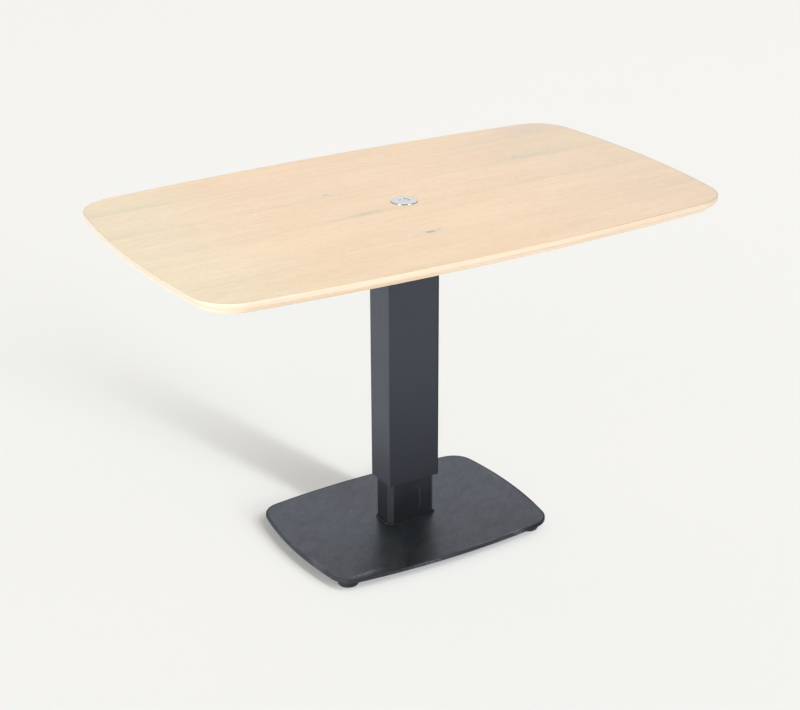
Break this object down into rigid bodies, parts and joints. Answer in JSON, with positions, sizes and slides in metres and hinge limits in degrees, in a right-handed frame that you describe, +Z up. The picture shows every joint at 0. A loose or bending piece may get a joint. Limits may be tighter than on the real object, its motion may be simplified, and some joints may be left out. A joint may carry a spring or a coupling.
{
  "type": "height-adjustable pedestal table",
  "caption": "Pedestal table with a bowed pale wood top, a release button in its middle, a telescopic column over a gas spring and a bowed steel foot plate on levelling feet.",
  "frame": {"origin": "on the floor, under the middle of the column", "axes": "+X along the top's long side, +Y along its short side away from the picture's camera side, +Z up"},
  "size_m": [1.2, 0.7, 0.7454],
  "materials": {
    "pale_oak": "whitewashed oak veneer, matt lacquer",
    "polished_chrome": "polished",
    "satin_button": "satin",
    "outer_coat": "fine powder coat, anthracite",
    "inner_coat": "smooth powder coat, near black",
    "plate_coat": "fine powder coat, anthracite",
    "black_paint": "black paint",
    "zinc_steel": "zinc plated",
    "rod_chrome": "hard chrome",
    "black_plastic": "moulded",
    "white_plastic": "moulded",
    "foot_plastic": "moulded, black"
  },
  "bodies": {
    "base": {"base_plate": "plate_coat", "inner_column": "inner_coat", "foot_weld": "inner_coat", "upper_guide_bush": "white_plastic", "gas_spring_seat": "zinc_steel", "seat_screw": "zinc_steel", "gas_spring_cylinder": "black_paint", "gas_spring_guide": "black_plastic"},
    "lift": {"tabletop": "pale_oak", "head_plate": "black_paint", "head_screw_1": "zinc_steel", "head_screw_2": "zinc_steel", "head_screw_3": "zinc_steel", "head_screw_4": "zinc_steel", "head_screw_5": "zinc_steel", "head_screw_6": "zinc_steel", "head_screw_7": "zinc_steel", "head_screw_8": "zinc_steel", "outer_column": "outer_coat", "head_weld": "black_paint", "lower_guide_bush": "black_plastic", "gas_spring_rod": "rod_chrome", "gas_spring_piston": "zinc_steel", "rod_nut_lower": "zinc_steel", "rod_nut_upper": "zinc_steel", "button_bezel": "polished_chrome"},
    "button": {"release_button": "satin_button"},
    "pin": {"release_pin": "zinc_steel"},
    "foot_1": {"foot_pad_1": "foot_plastic", "foot_stud_1": "zinc_steel"},
    "foot_2": {"foot_pad_2": "foot_plastic", "foot_stud_2": "zinc_steel"},
    "foot_3": {"foot_pad_3": "foot_plastic", "foot_stud_3": "zinc_steel"},
    "foot_4": {"foot_pad_4": "foot_plastic", "foot_stud_4": "zinc_steel"}
  },
  "joints": [
    {"name": "height_slide", "type": "slide", "parent": "base", "child": "lift", "axis": [0, 0, 1], "range_m": [-0.056, 0.364]},
    {"name": "button_press", "type": "slide", "parent": "lift", "child": "button", "axis": [0, 0, 1], "range_m": [-0.004, 0], "stiffness_N_per_m": 1500, "springref_m": 0.004},
    {"name": "pin_push", "type": "slide", "parent": "lift", "child": "pin", "axis": [0, 0, 1], "range_m": [-0.004, 0]},
    {"name": "foot_level_1", "type": "slide", "parent": "base", "child": "foot_1", "axis": [0, 0, 1], "range_m": [-0.003, 0]},
    {"name": "foot_level_2", "type": "slide", "parent": "base", "child": "foot_2", "axis": [0, 0, 1], "range_m": [-0.003, 0]},
    {"name": "foot_level_3", "type": "slide", "parent": "base", "child": "foot_3", "axis": [0, 0, 1], "range_m": [-0.003, 0]},
    {"name": "foot_level_4", "type": "slide", "parent": "base", "child": "foot_4", "axis": [0, 0, 1], "range_m": [-0.003, 0]}
  ],
  "couplings": [
    {"joint": "pin_push", "follows": "button_press", "ratio": 1}
  ]
}
